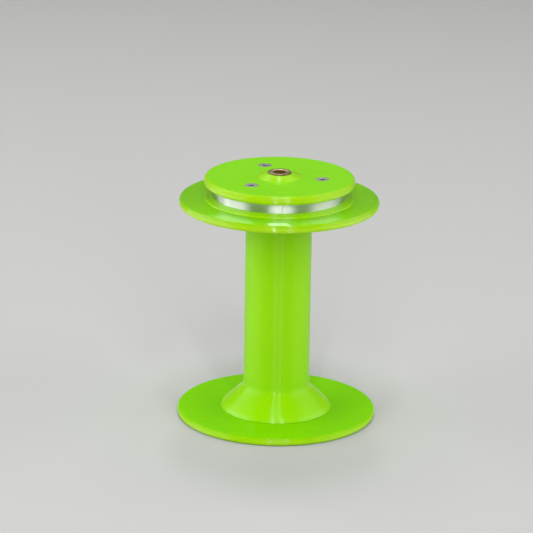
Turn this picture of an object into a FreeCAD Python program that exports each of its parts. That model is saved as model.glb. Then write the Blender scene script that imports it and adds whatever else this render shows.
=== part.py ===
import FreeCAD, Part
import os
import Sketcher

# A bobbin-shaped spool that turns on a 6 mm spindle. A hollow core with a flared foot stands on
# the lower flange. Its top passes through the upper flange into a hub, which carries a belt groove
# lined with an aluminium band, and a screwed cap closes the groove. A bronze bush sits in each
# end. The axis is Z, the origin is the centre of the base, and -Y is the side facing the viewer.

doc = FreeCAD.newDocument("spool")

# Driving sizes in millimetres, angles in degrees
SIZES = (
    ("flange_diameter", 86.0),
    ("flange_thickness", 3.3),
    ("rim_rounding", 1.5),
    ("winding_width", 91.0),
    ("shaft_diameter", 28.6),
    ("shaft_wall", 3.3),
    ("foot_flare", 10.2),
    ("foot_height", 9.9),
    ("foot_edge", 0.6),
    ("spigot_step", 1.5),
    ("spigot_clearance", 0.05),
    ("pulley_diameter", 64.6),
    ("groove_depth", 4.3),
    ("groove_width", 4.3),
    ("lip_height", 1.4),
    ("lip_edge", 0.4),
    ("hub_ledge", 1.7),
    ("band_thickness", 0.85),
    ("band_play", 0.1),
    ("band_gap", 0.5),
    ("band_gap_angle", -87.7),
    ("cap_thickness", 3.8),
    ("boss_wall", 0.9),
    ("boss_spread", 3.8),
    ("boss_height", 1.6),
    ("register_relief", 2.0),
    ("register_length", 5.0),
    ("register_clearance", 0.1),
    ("bush_outer", 10.0),
    ("bush_bore", 6.0),
    ("bush_length", 12.0),
    ("bush_proud", 0.6),
    ("bush_recess", 0.2),
    ("bush_chamfer", 0.35),
    ("screw_count", 3),
    ("first_screw_angle", -10.0),
    ("cap_screw_inset", 5.75),
    ("cap_screw_bite", 4.2),
    ("base_screw_bite", 4.7),
    ("screw_thread", 3.0),
    ("screw_head", 5.7),
    ("head_land", 0.2),
    ("head_clearance", 0.1),
    ("shank_clearance", 0.2),
    ("hex_socket", 2.0),
    ("hex_depth", 1.2),
    ("insert_outer", 4.2),
    ("insert_length", 4.0),
    ("insert_groove", 0.3),
    ("insert_groove_width", 1.0),
    ("tip_clearance", 0.8),
)

# Radii and heights that follow from the driving sizes
LEVELS = (
    ("flange_radius", "Sizes.flange_diameter / 2"),
    ("flange_rim", "min(Sizes.rim_rounding; Sizes.flange_thickness * 0.47)"),
    ("shaft_radius", "Sizes.shaft_diameter / 2"),
    ("bore_radius", "shaft_radius - Sizes.shaft_wall"),
    ("foot_radius", "shaft_radius + Sizes.foot_flare"),
    ("foot_edge_top", "Sizes.flange_thickness + Sizes.foot_edge"),
    ("foot_top", "Sizes.flange_thickness + Sizes.foot_height"),
    ("shoulder", "Sizes.flange_thickness + Sizes.winding_width"),
    ("spigot_radius", "shaft_radius - Sizes.spigot_step"),
    ("socket_radius", "spigot_radius + Sizes.spigot_clearance"),
    ("upper_flange_top", "shoulder + Sizes.flange_thickness"),
    ("lip_edge_top", "upper_flange_top + Sizes.lip_edge"),
    ("pulley_radius", "Sizes.pulley_diameter / 2"),
    ("groove_floor", "pulley_radius - Sizes.groove_depth"),
    ("groove_bottom", "upper_flange_top + Sizes.lip_height"),
    ("groove_top", "groove_bottom + Sizes.groove_width"),
    ("spigot_top", "groove_top - Sizes.hub_ledge"),
    ("band_radius", "groove_floor + Sizes.band_thickness"),
    ("band_top", "groove_top - Sizes.band_play"),
    ("band_sweep", "360 - Sizes.band_gap / band_radius * 180 / pi"),
    ("band_start", "Sizes.band_gap_angle + (360 - band_sweep) / 2"),
    ("cap_top", "groove_top + Sizes.cap_thickness"),
    ("cap_rim", "min(Sizes.rim_rounding; Sizes.cap_thickness * 0.47)"),
    ("bush_radius", "Sizes.bush_outer / 2"),
    ("bush_bore_radius", "Sizes.bush_bore / 2"),
    ("boss_top_radius", "bush_radius + Sizes.boss_wall"),
    ("boss_base_radius", "boss_top_radius + Sizes.boss_spread"),
    ("boss_top", "cap_top + Sizes.boss_height"),
    ("register_radius", "bore_radius - Sizes.register_relief"),
    ("register_bottom", "groove_top - Sizes.register_length"),
    ("register_hole", "register_radius + Sizes.register_clearance"),
    ("upper_bush_bottom", "boss_top + Sizes.bush_proud - Sizes.bush_length"),
    ("web_top", "Sizes.bush_recess + Sizes.bush_length"),
    ("cap_circle", "socket_radius + Sizes.cap_screw_inset"),
    ("base_circle", "(bush_radius + foot_radius) / 2"),
    ("cap_screw_length", "Sizes.cap_thickness + Sizes.cap_screw_bite"),
    ("base_screw_length", "Sizes.flange_thickness + Sizes.base_screw_bite"),
    ("thread_radius", "Sizes.screw_thread / 2"),
    ("head_radius", "Sizes.screw_head / 2"),
    ("head_cone", "Sizes.head_land + head_radius - thread_radius"),
    ("sink_radius", "head_radius + Sizes.head_clearance"),
    ("hole_radius", "thread_radius + Sizes.shank_clearance"),
    ("sink_depth", "Sizes.head_land + sink_radius - hole_radius"),
    ("insert_radius", "Sizes.insert_outer / 2"),
    ("insert_waist", "insert_radius - Sizes.insert_groove"),
    ("insert_waist_low", "(Sizes.insert_length - Sizes.insert_groove_width) / 2"),
    ("insert_waist_high", "(Sizes.insert_length + Sizes.insert_groove_width) / 2"),
    ("base_insert_top", "Sizes.flange_thickness + Sizes.insert_length"),
    ("base_pilot_top", "max(base_insert_top; base_screw_length) + Sizes.tip_clearance"),
    ("cap_insert_bottom", "groove_top - Sizes.insert_length"),
    ("cap_pilot_bottom", "min(cap_insert_bottom; cap_top - cap_screw_length) - Sizes.tip_clearance"),
    ("cap_sink_bottom", "cap_top - sink_depth"),
    ("cap_land_bottom", "cap_top - Sizes.head_land"),
    ("screw_pitch", "360 / Sizes.screw_count"),
)


def fill_sheet(name, rows, mark):
    """Make a sheet with one row for each name and value."""
    sheet = doc.addObject("Spreadsheet::Sheet", name)
    for number, (alias, value) in enumerate(rows, start=1):
        sheet.set("A%d" % number, alias)
        sheet.set("B%d" % number, mark + str(value))
        sheet.setAlias("B%d" % number, alias)
    doc.recompute()
    return sheet


sizes = fill_sheet("Sizes", SIZES, "")
levels = fill_sheet("Levels", LEVELS, "=")


def value_of(name):
    """Read one size from whichever sheet holds it."""
    sheet = levels if levels.getCellFromAlias(name) else sizes
    return float(sheet.get(name))


def path_of(name):
    """Give the expression that names one size."""
    sheet = levels if levels.getCellFromAlias(name) else sizes
    return "%s.%s" % (sheet.Name, name)


def origin_feature(body, role):
    """Find a base plane or axis of a body by its role."""
    return next(item for item in body.Origin.OriginFeatures if item.Role == role)


def new_body(label):
    """Start one piece of the spool."""
    body = doc.addObject("PartDesign::Body", label)
    body.Label = label
    return body


def profile(body, name, corners, axis=None):
    """Draw a closed outline on the XZ plane, every corner held at a named radius and height.

    A corner with no radius lies on the line named by axis, or on the Z axis itself.
    """
    sketch = body.newObject("Sketcher::SketchObject", name)
    sketch.AttachmentSupport = [(origin_feature(body, "XZ_Plane"), "")]
    sketch.MapMode = "FlatFace"
    centre = value_of(axis) if axis else 0.0
    points = []
    for radius, height in corners:
        across = centre + (value_of(radius) if radius else 0.0)
        points.append(FreeCAD.Vector(across, value_of(height) if height else 0.0, 0))
    last = len(points) - 1
    for number, point in enumerate(points):
        following = points[0] if number == last else points[number + 1]
        sketch.addGeometry(Part.LineSegment(point, following), False)
    for number in range(len(points)):
        following = 0 if number == last else number + 1
        sketch.addConstraint(Sketcher.Constraint("Coincident", number, 2, following, 1))
    for number, (radius, height) in enumerate(corners):
        terms = [path_of(name) for name in (axis, radius) if name]
        if terms:
            across = sketch.addConstraint(
                Sketcher.Constraint("DistanceX", -1, 1, number, 1, points[number].x))
            sketch.setExpression("Constraints[%d]" % across, " + ".join(terms))
        else:
            sketch.addConstraint(Sketcher.Constraint("PointOnObject", number, 1, -2))
        if height:
            up = sketch.addConstraint(
                Sketcher.Constraint("DistanceY", -1, 1, number, 1, points[number].y))
            sketch.setExpression("Constraints[%d]" % up, path_of(height))
        else:
            sketch.addConstraint(Sketcher.Constraint("PointOnObject", number, 1, -1))
    return sketch


def turned(body, corners, sweep=None):
    """Turn an outline about the Z axis into the body of a piece."""
    sketch = profile(body, body.Label + "_profile", corners)
    turn = body.newObject("PartDesign::Revolution", body.Label + "_turned")
    turn.Profile = sketch
    turn.ReferenceAxis = (sketch, ["V_Axis"])
    turn.Angle = 360
    if sweep:
        turn.setExpression("Angle", path_of(sweep))
    doc.recompute()
    return turn


def bored_round(body, name, circle, corners):
    """Cut a ring of like holes, each turned about an upright line on a named circle."""
    before = body.Shape.Volume
    sketch = profile(body, body.Label + "_" + name, corners, axis=circle)
    heights = [value_of(height) if height else 0.0 for radius, height in corners]
    line = Part.LineSegment(FreeCAD.Vector(value_of(circle), min(heights), 0),
                            FreeCAD.Vector(value_of(circle), max(heights), 0))
    axis = sketch.addGeometry(line, True)
    sketch.addConstraint(Sketcher.Constraint("Vertical", axis))
    place = sketch.addConstraint(Sketcher.Constraint("DistanceX", -1, 1, axis, 1, line.StartPoint.x))
    sketch.setExpression("Constraints[%d]" % place, path_of(circle))
    groove = body.newObject("PartDesign::Groove", body.Label + "_" + name + "_cut")
    groove.Profile = sketch
    groove.ReferenceAxis = (sketch, ["Axis0"])
    groove.Angle = 360
    doc.recompute()
    ring = body.newObject("PartDesign::PolarPattern", body.Label + "_" + name + "_ring")
    ring.Originals = [groove]
    ring.Axis = (origin_feature(body, "Z_Axis"), [""])
    ring.Angle = 360
    ring.setExpression("Occurrences", "Sizes.screw_count")
    body.Tip = ring
    doc.recompute()
    if body.Shape.Volume >= before:
        raise RuntimeError("%s: the %s holes cut nothing" % (body.Label, name))


def circles_at(shape, radius, height):
    """List the round edges of a shape that have a given radius and height."""
    near = 1e-4
    found = []
    for number, edge in enumerate(shape.Edges, start=1):
        curve = edge.Curve
        round_edge = isinstance(curve, Part.Circle) and abs(curve.Radius - radius) < near
        if round_edge and abs(curve.Center.z - height) < near and curve.Center.x ** 2 < near:
            found.append("Edge%d" % number)
    return found


def eased(body, kind, rings, size):
    """Round or chamfer the rings of a body, given as pairs of radius and height."""
    base = body.Tip
    edges = []
    for radius, height in rings:
        edges += circles_at(base.Shape, value_of(radius), value_of(height) if height else 0.0)
    ease = body.newObject("PartDesign::" + kind, "%s_%s" % (body.Label, kind.lower()))
    ease.Base = (base, edges)
    measure = "Radius" if kind == "Fillet" else "Size"
    ease.setExpression(measure, path_of(size))
    doc.recompute()


def turn_by(body, angle):
    """Turn a whole piece about the Z axis."""
    body.setExpression(".Placement.Rotation.Angle", "%s * 1 deg" % angle)


# Lower flange: a disc with a rounded rim, centred by the bush and screwed to the core's foot
lower_flange = new_body("lower_flange")
turned(lower_flange, (
    ("bush_radius", None),
    ("flange_radius", None),
    ("flange_radius", "flange_thickness"),
    ("bush_radius", "flange_thickness"),
))
eased(lower_flange, "Fillet", (("flange_radius", None), ("flange_radius", "flange_thickness")),
      "flange_rim")
bored_round(lower_flange, "screw_holes", "base_circle", (
    (None, None),
    ("sink_radius", None),
    ("sink_radius", "head_land"),
    ("hole_radius", "sink_depth"),
    ("hole_radius", "flange_thickness"),
    (None, "flange_thickness"),
))

# Core: a hollow shaft with a flared foot, a web below that holds a bush, and a spigot on top
core = new_body("core")
turned(core, (
    ("bush_radius", "flange_thickness"),
    ("foot_radius", "flange_thickness"),
    ("foot_radius", "foot_edge_top"),
    ("shaft_radius", "foot_top"),
    ("shaft_radius", "shoulder"),
    ("spigot_radius", "shoulder"),
    ("spigot_radius", "spigot_top"),
    ("bore_radius", "spigot_top"),
    ("bore_radius", "web_top"),
    ("bush_radius", "web_top"),
))
bored_round(core, "insert_holes", "base_circle", (
    (None, "flange_thickness"),
    ("insert_radius", "flange_thickness"),
    ("insert_radius", "base_insert_top"),
    ("thread_radius", "base_insert_top"),
    ("thread_radius", "base_pilot_top"),
    (None, "base_pilot_top"),
))

# Upper flange: a disc of the same size, clamped between the core's shoulder and the hub
upper_flange = new_body("upper_flange")
turned(upper_flange, (
    ("socket_radius", "shoulder"),
    ("flange_radius", "shoulder"),
    ("flange_radius", "upper_flange_top"),
    ("socket_radius", "upper_flange_top"),
))
eased(upper_flange, "Fillet", (("flange_radius", "shoulder"), ("flange_radius", "upper_flange_top")),
      "flange_rim")

# Groove hub: the floor and the sloping lower lip of the groove, with a socket for the spigot
groove_hub = new_body("groove_hub")
turned(groove_hub, (
    ("socket_radius", "upper_flange_top"),
    ("pulley_radius", "upper_flange_top"),
    ("pulley_radius", "lip_edge_top"),
    ("band_radius", "groove_bottom"),
    ("groove_floor", "groove_bottom"),
    ("groove_floor", "groove_top"),
    ("register_hole", "groove_top"),
    ("register_hole", "spigot_top"),
    ("socket_radius", "spigot_top"),
))
bored_round(groove_hub, "insert_holes", "cap_circle", (
    (None, "groove_top"),
    ("insert_radius", "groove_top"),
    ("insert_radius", "cap_insert_bottom"),
    ("thread_radius", "cap_insert_bottom"),
    ("thread_radius", "cap_pilot_bottom"),
    (None, "cap_pilot_bottom"),
))

# Groove band: an aluminium strip bent round the hub, with a narrow gap where its ends meet
groove_band = new_body("groove_band")
turned(groove_band, (
    ("groove_floor", "groove_bottom"),
    ("band_radius", "groove_bottom"),
    ("band_radius", "band_top"),
    ("groove_floor", "band_top"),
), sweep="band_sweep")

# Cap: the disc that closes the groove, with a boss on top and a register that centres it below
cap = new_body("cap")
turned(cap, (
    ("bush_radius", "register_bottom"),
    ("register_radius", "register_bottom"),
    ("register_radius", "groove_top"),
    ("pulley_radius", "groove_top"),
    ("pulley_radius", "cap_top"),
    ("boss_base_radius", "cap_top"),
    ("boss_top_radius", "boss_top"),
    ("bush_radius", "boss_top"),
))
eased(cap, "Fillet", (("pulley_radius", "groove_top"), ("pulley_radius", "cap_top")), "cap_rim")
bored_round(cap, "screw_holes", "cap_circle", (
    (None, "cap_top"),
    ("sink_radius", "cap_top"),
    ("sink_radius", "cap_land_bottom"),
    ("hole_radius", "cap_sink_bottom"),
    ("hole_radius", "groove_top"),
    (None, "groove_top"),
))


def make_bush(label):
    """Turn one plain bronze bush with broken edges, standing on its own origin."""
    bush = new_body(label)
    turned(bush, (
        ("bush_bore_radius", None),
        ("bush_radius", None),
        ("bush_radius", "bush_length"),
        ("bush_bore_radius", "bush_length"),
    ))
    eased(bush, "Chamfer", (
        ("bush_bore_radius", None),
        ("bush_radius", None),
        ("bush_radius", "bush_length"),
        ("bush_bore_radius", "bush_length"),
    ), "bush_chamfer")
    return bush


# Bushes: one pressed into the cap, one through the lower flange into the core's web
upper_bushing = make_bush("upper_bushing")
upper_bushing.setExpression(".Placement.Base.z", "Levels.upper_bush_bottom")
lower_bushing = make_bush("lower_bushing")
lower_bushing.setExpression(".Placement.Base.z", "Sizes.bush_recess")


def make_screw(label, length):
    """Make one countersunk hex-socket screw, head face on the origin and shank along +Z."""
    screw = new_body(label)
    turned(screw, (
        (None, None),
        ("head_radius", None),
        ("head_radius", "head_land"),
        ("thread_radius", "head_cone"),
        ("thread_radius", length),
        (None, length),
    ))
    socket = screw.newObject("PartDesign::SubtractivePrism", label + "_socket")
    socket.Polygon = 6
    socket.setExpression("Circumradius", "Sizes.hex_socket / sqrt(3)")
    socket.setExpression("Height", "Sizes.hex_depth")
    doc.recompute()
    return screw


def make_insert(label):
    """Make one brass insert with a waist that the plastic grips, standing on its own origin."""
    insert = new_body(label)
    turned(insert, (
        ("thread_radius", None),
        ("insert_radius", None),
        ("insert_radius", "insert_waist_low"),
        ("insert_waist", "insert_waist_low"),
        ("insert_waist", "insert_waist_high"),
        ("insert_radius", "insert_waist_high"),
        ("insert_radius", "insert_length"),
        ("thread_radius", "insert_length"),
    ))
    return insert


def set_on_circle(body, circle, number, height):
    """Stand a piece on a screw circle, at its own place in the ring."""
    angle = "(Sizes.first_screw_angle + %d * Levels.screw_pitch) * 1 deg" % number
    body.setExpression(".Placement.Base.x", "%s * cos(%s)" % (path_of(circle), angle))
    body.setExpression(".Placement.Base.y", "%s * sin(%s)" % (path_of(circle), angle))
    body.setExpression(".Placement.Base.z", height)


# Screws and inserts: one ring under the cap, one ring under the core's foot
upside_down = FreeCAD.Rotation(FreeCAD.Vector(1, 0, 0), 180)
screws = []
inserts = []
for number in range(int(value_of("screw_count"))):
    cap_screw = make_screw("cap_screw_%d" % (number + 1), "cap_screw_length")
    cap_screw.Placement.Rotation = upside_down
    set_on_circle(cap_screw, "cap_circle", number, "Levels.cap_top")
    base_screw = make_screw("base_screw_%d" % (number + 1), "base_screw_length")
    set_on_circle(base_screw, "base_circle", number, "0")
    cap_insert = make_insert("cap_insert_%d" % (number + 1))
    set_on_circle(cap_insert, "cap_circle", number, "Levels.cap_insert_bottom")
    base_insert = make_insert("base_insert_%d" % (number + 1))
    set_on_circle(base_insert, "base_circle", number, "Sizes.flange_thickness")
    screws += [cap_screw, base_screw]
    inserts += [cap_insert, base_insert]

# The pieces with screw holes are turned so that the holes meet the screws
for body in (lower_flange, core, groove_hub, cap):
    turn_by(body, "Sizes.first_screw_angle")
turn_by(groove_band, "Levels.band_start")

doc.recompute()

pieces = [lower_flange, core, upper_flange, groove_hub, groove_band, cap, upper_bushing, lower_bushing]
pieces += screws + inserts

# Nothing is written unless every feature and every solid is sound
for item in doc.Objects:
    if "Invalid" in item.State or "Error" in item.State:
        raise RuntimeError("%s failed: %s" % (item.Label, item.State))
for piece in pieces:
    if piece.Shape.isNull() or not piece.Shape.isValid() or len(piece.Shape.Solids) != 1:
        raise RuntimeError("%s is not one sound solid" % piece.Label)

os.makedirs("parts", exist_ok=True)
for piece in pieces:
    piece.Shape.exportStep(os.path.join("parts", piece.Label + ".step"))
    box = piece.Shape.BoundBox
    print("%-16s %9.1f mm3  z %7.2f to %7.2f" % (piece.Label, piece.Shape.Volume, box.ZMin, box.ZMax))
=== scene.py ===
import math

import bmesh
import bpy
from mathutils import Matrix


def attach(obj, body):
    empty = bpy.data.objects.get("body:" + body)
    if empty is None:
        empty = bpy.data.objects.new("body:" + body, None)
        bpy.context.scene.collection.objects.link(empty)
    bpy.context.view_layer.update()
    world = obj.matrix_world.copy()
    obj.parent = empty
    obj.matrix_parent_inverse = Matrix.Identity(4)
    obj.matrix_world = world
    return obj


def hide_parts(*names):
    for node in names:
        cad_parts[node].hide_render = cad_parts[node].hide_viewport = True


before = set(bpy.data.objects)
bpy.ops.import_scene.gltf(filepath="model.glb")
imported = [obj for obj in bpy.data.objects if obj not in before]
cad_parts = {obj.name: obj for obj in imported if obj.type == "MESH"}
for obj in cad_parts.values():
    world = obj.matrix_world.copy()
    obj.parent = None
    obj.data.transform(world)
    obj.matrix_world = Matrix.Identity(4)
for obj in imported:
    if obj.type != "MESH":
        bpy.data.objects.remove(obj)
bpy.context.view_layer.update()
MM = 0.001


# Lower flange: the disc that the spool stands on, printed flat in lime-green plastic. Its top
# shows the straight lines of the last printed layer, its rim is rounded, and three countersunk
# holes in its underside take the screws that hold it to the core.
AROUND = 192
FLANGE_RADIUS = 43.0
FLANGE_THICK = 3.3
RIM_ROUNDING = 1.5
RIM_WIDTH = 2.2
LAYER = 0.2
LAYER_NOSE = 0.05
LINE_WIDTH = 0.45
MOUTH_BREAK = 0.18
HOLE_RADIUS = 1.7
SINK_RADIUS = 2.95
SINK_EDGE = 0.2
SINK_DEPTH = 1.45
OVERRUN = 0.3
BUSH_RADIUS = 5.0
BASE_CIRCLE = 14.75
SCREW_ANGLES = (-10.0, 110.0, 230.0)


def pick_piece(piece):
    """Selects one piece alone."""
    bpy.ops.object.select_all(action="DESELECT")
    piece.select_set(True)
    bpy.context.view_layer.objects.active = piece


def first_point(name, radius, height):
    """Starts a piece as a single point in edit mode, placed in millimetres."""
    bpy.ops.object.select_all(action="DESELECT")
    bpy.ops.mesh.primitive_plane_add(size=MM, location=(0, 0, 0))
    piece = bpy.context.object
    piece.name = name
    piece.data.name = name
    bpy.ops.object.mode_set(mode="EDIT")
    bpy.ops.mesh.select_mode(type="VERT")
    bpy.ops.mesh.select_all(action="SELECT")
    bpy.ops.mesh.merge(type="CENTER")
    bpy.ops.transform.translate(value=(radius * MM, 0, height * MM))
    return piece


def draw_on(outward, upward):
    """Draws an edge from the last point by a step in millimetres."""
    step = (outward * MM, 0, upward * MM)
    bpy.ops.mesh.extrude_vertices_move(TRANSFORM_OT_translate={"value": step})


def turned_wall(name, section, around=AROUND):
    """Draws a closed outline point by point in millimetres and spins it about the upright axis."""
    radius, height = section[0]
    piece = first_point(name, radius, height)
    for wide, high in (*section[1:], section[0]):
        draw_on(wide - radius, high - height)
        radius, height = wide, high
    bpy.ops.mesh.select_all(action="SELECT")
    bpy.ops.mesh.remove_doubles(threshold=0.0005 * MM)
    bpy.ops.mesh.select_all(action="SELECT")
    bpy.ops.mesh.spin(steps=around, angle=2 * math.pi, center=(0, 0, 0), axis=(0, 0, 1))
    bpy.ops.mesh.select_all(action="SELECT")
    bpy.ops.mesh.remove_doubles(threshold=0.0005 * MM)
    bpy.ops.mesh.select_all(action="SELECT")
    bpy.ops.mesh.normals_make_consistent(inside=False)
    bpy.ops.mesh.select_all(action="DESELECT")
    return piece


def stacked_layers(edge, low, high):
    """Gives the outline of layers with rounded noses, whose reach at a height is edge(height)."""
    outline = []
    count = round((high - low) / LAYER)
    thick = (high - low) / count
    for number in range(count):
        bottom = low + number * thick
        reach = edge(bottom + thick / 2)
        for back, share in ((LAYER_NOSE, 0.0), (0.0, 0.3), (0.0, 0.7), (LAYER_NOSE, 1.0)):
            outline.append((reach - back, bottom + thick * share))
    return outline


def rounded_rim(radius, low, high, rounding):
    """Gives the reach of a disc's rim with both its edges rounded."""
    def reach(height):
        over = max(low + rounding - height, height - (high - rounding), 0.0)
        return radius - rounding + math.sqrt(rounding ** 2 - over ** 2)
    return reach


def turned_solid(name, section, around=AROUND):
    """Draws a filled disc up its section, face by face, into a closed solid."""
    bpy.ops.object.select_all(action="DESELECT")
    radius, height = section[0]
    bpy.ops.mesh.primitive_circle_add(vertices=around, radius=radius * MM, fill_type="NGON",
                                      location=(0, 0, height * MM))
    piece = bpy.context.object
    piece.name = name
    piece.data.name = name
    bpy.ops.object.transform_apply(location=True, rotation=True, scale=True)
    bpy.ops.object.mode_set(mode="EDIT")
    bpy.ops.mesh.select_mode(type="FACE")
    bpy.ops.mesh.select_all(action="SELECT")
    for wide, high in section[1:]:
        step = (0, 0, (high - height) * MM)
        bpy.ops.mesh.extrude_region_move(TRANSFORM_OT_translate={"value": step})
        grow = wide / radius
        bpy.ops.transform.resize(value=(grow, grow, 1), center_override=(0, 0, 0))
        radius, height = wide, high
    bpy.ops.mesh.select_all(action="SELECT")
    bpy.ops.mesh.normals_make_consistent(inside=False)
    bpy.ops.mesh.select_all(action="DESELECT")
    return piece


def set_down(piece, place, angle=0.0, head_up=True):
    """Turns a piece about the upright axis or on its head, and moves its mesh to its place."""
    pick_piece(piece)
    piece.rotation_euler = (0 if head_up else math.pi, 0, math.radians(angle))
    piece.location = [value * MM for value in place]
    bpy.ops.object.transform_apply(location=True, rotation=True, scale=True)


def copy_of(piece, name):
    """Copies a piece together with its mesh."""
    twin = piece.copy()
    twin.data = piece.data.copy()
    twin.name = name
    twin.data.name = name
    bpy.context.scene.collection.objects.link(twin)
    return twin


def on_circle(circle, angle, height):
    """Gives the place on a circle of screws, in millimetres."""
    return (circle * math.cos(math.radians(angle)), circle * math.sin(math.radians(angle)), height)


def join_shapes(piece, other, work):
    """Adds another shape to a piece, cuts it out or keeps what they share, and drops the other."""
    bpy.ops.object.mode_set(mode="OBJECT")
    pick_piece(piece)
    step = piece.modifiers.new(work, "BOOLEAN")
    step.operation = work
    step.solver = "EXACT"
    step.object = other
    bpy.ops.object.modifier_apply(modifier=step.name)
    bpy.data.objects.remove(other)


def drill(piece, bit, circle):
    """Cuts the bit's shape out of a piece at each of the three screw places, then drops the bit."""
    bpy.ops.object.mode_set(mode="OBJECT")
    for number, angle in enumerate(SCREW_ANGLES):
        cutter = copy_of(bit, "cutter_%d" % number)
        set_down(cutter, on_circle(circle, angle, 0.0))
        join_shapes(piece, cutter, "DIFFERENCE")
    bpy.data.objects.remove(bit)


def finish_surface(piece, angle=32.0):
    """Shades the curves smooth up to an angle and lets the flat faces stay flat."""
    if bpy.context.object and bpy.context.object.mode == "EDIT":
        bpy.ops.object.mode_set(mode="OBJECT")
    pick_piece(piece)
    bpy.ops.object.shade_smooth_by_angle(angle=math.radians(angle))
    level = piece.modifiers.new("level", "WEIGHTED_NORMAL")
    level.keep_sharp = True
    bpy.ops.object.modifier_apply(modifier=level.name)


def place_piece(piece, node):
    """Lets the piece stand for its node, on the spool's one body."""
    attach(piece, "root")
    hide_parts(node)


def group_socket(group, name, way, kind, value=None):
    """Adds a named socket to a group."""
    socket = group.interface.new_socket(name=name, in_out=way, socket_type=kind)
    if value is not None:
        socket.default_value = value
    return socket


def sum_node(tree, work, *values):
    """Adds a math node whose inputs are numbers or links, and gives its output."""
    node = tree.nodes.new("ShaderNodeMath")
    node.operation = work
    for number, value in enumerate(values):
        if isinstance(value, (int, float)):
            node.inputs[number].default_value = value
        else:
            tree.links.new(value, node.inputs[number])
    return node.outputs[0]


def reach_node(tree, axes):
    """Gives the distance from the upright axis."""
    outward = tree.nodes.new("ShaderNodeCombineXYZ")
    tree.links.new(axes.outputs["X"], outward.inputs[0])
    tree.links.new(axes.outputs["Y"], outward.inputs[1])
    reach = tree.nodes.new("ShaderNodeVectorMath")
    reach.operation = "LENGTH"
    tree.links.new(outward.outputs[0], reach.inputs[0])
    return reach.outputs["Value"]


def range_node(tree, value, start, end, low=0.0, high=1.0):
    """Turns a value between start and end into one between low and high."""
    node = tree.nodes.new("ShaderNodeMapRange")
    node.inputs["From Min"].default_value = start
    node.inputs["From Max"].default_value = end
    node.inputs["To Min"].default_value = low
    node.inputs["To Max"].default_value = high
    tree.links.new(value, node.inputs["Value"])
    return node.outputs[0]


def noise_node(tree, place, scale, detail):
    """Gives soft noise at a place."""
    node = tree.nodes.new("ShaderNodeTexNoise")
    node.inputs["Scale"].default_value = scale
    node.inputs["Detail"].default_value = detail
    tree.links.new(place, node.inputs["Vector"])
    return node.outputs["Fac"]


def tone_node(tree, amount, dark, light, start=0.3, end=0.7):
    """Turns an amount into a colour between a dark and a light one."""
    node = tree.nodes.new("ShaderNodeValToRGB")
    for stop, position, colour in zip(node.color_ramp.elements, (start, end), (dark, light)):
        stop.position = position
        stop.color = (*colour, 1)
    tree.links.new(amount, node.inputs[0])
    return node.outputs[0]


def tint_node(tree, factor, paint, tint, blend="MULTIPLY"):
    """Tints a colour by a factor."""
    node = tree.nodes.new("ShaderNodeMix")
    node.data_type = "RGBA"
    node.blend_type = blend
    tree.links.new(factor, node.inputs["Factor"])
    tree.links.new(paint, node.inputs["A"])
    node.inputs["B"].default_value = (*tint, 1)
    return node.outputs["Result"]


def relief_node(tree, shader, height, filter_width=0.05):
    """Raises the surface of a shader by a height in metres."""
    relief = tree.nodes.new("ShaderNodeBump")
    relief.inputs["Distance"].default_value = 1.0
    relief.inputs["Filter Width"].default_value = filter_width
    tree.links.new(height, relief.inputs["Height"])
    tree.links.new(relief.outputs[0], shader.inputs["Normal"])


def new_material(name):
    """Starts a material and gives it with its nodes, its shader and the place on the piece."""
    material = bpy.data.materials.new(name)
    material.use_nodes = True
    tree = material.node_tree
    tree.nodes.clear()
    output = tree.nodes.new("ShaderNodeOutputMaterial")
    shader = tree.nodes.new("ShaderNodeBsdfPrincipled")
    tree.links.new(shader.outputs[0], output.inputs["Surface"])
    return material, tree, shader, tree.nodes.new("ShaderNodeTexCoord").outputs["Object"]


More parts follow.
